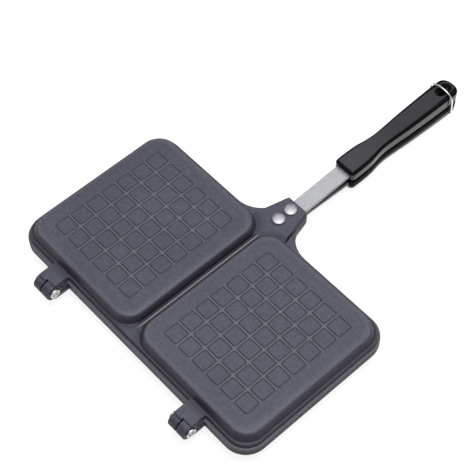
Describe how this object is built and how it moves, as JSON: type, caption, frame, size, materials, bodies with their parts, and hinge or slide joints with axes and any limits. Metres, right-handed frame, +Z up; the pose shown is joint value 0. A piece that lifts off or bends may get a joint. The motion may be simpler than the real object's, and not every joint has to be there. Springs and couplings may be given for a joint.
{
  "type": "stovetop sandwich maker",
  "caption": "Hinged cast stovetop sandwich maker: shallow pans side by side that close face to face, bakelite grips on riveted straps, and a wire bail that holds the grips shut.",
  "frame": {"origin": "middle of the base of the closed object's bounding box, on the surface the lower pans stand on", "axes": "+X along the hinge edge, +Y from the hinges to the grips, +Z up through the closed pans"},
  "size_m": [0.2428, 0.3485, 0.0306],
  "materials": {
    "coated_casting": "cast, dark grey satin non-stick coating",
    "brushed_strap": "brushed lengthwise",
    "bright_rivet": "smooth domed head",
    "bakelite": "glossy sides, matte outer face",
    "plated_steel": "plain plated",
    "insert_brass": "turned",
    "bail_wire": "bright drawn wire"
  },
  "bodies": {
    "lower_half": {"lower_plate": "coated_casting", "lower_strap": "brushed_strap", "lower_rivet_inner": "bright_rivet", "lower_rivet_outer": "bright_rivet", "lower_grip": "bakelite", "lower_grip_screw": "plated_steel", "lower_grip_insert": "insert_brass", "hinge_pin_left": "plated_steel", "hinge_pin_right": "plated_steel", "hinge_spacer_left": "plated_steel", "hinge_spacer_right": "plated_steel", "hinge_washer_left": "plated_steel", "hinge_washer_right": "plated_steel"},
    "upper_half": {"upper_plate": "coated_casting", "upper_strap": "brushed_strap", "upper_rivet_inner": "bright_rivet", "upper_rivet_outer": "bright_rivet", "upper_grip": "bakelite", "upper_grip_screw": "plated_steel", "upper_grip_insert": "insert_brass"},
    "bail": {"wire_bail": "bail_wire"}
  },
  "joints": [
    {"name": "lid_hinge", "type": "hinge", "parent": "lower_half", "child": "upper_half", "pos_m": [0, -0.16765, 0.0146], "axis": [1, 0, 0], "range_deg": [0, 180]},
    {"name": "bail_hinge", "type": "hinge", "parent": "lower_half", "child": "bail", "pos_m": [0, 0.16315, 0.0072], "axis": [-1, 0, 0], "range_deg": [0, 110]}
  ]
}
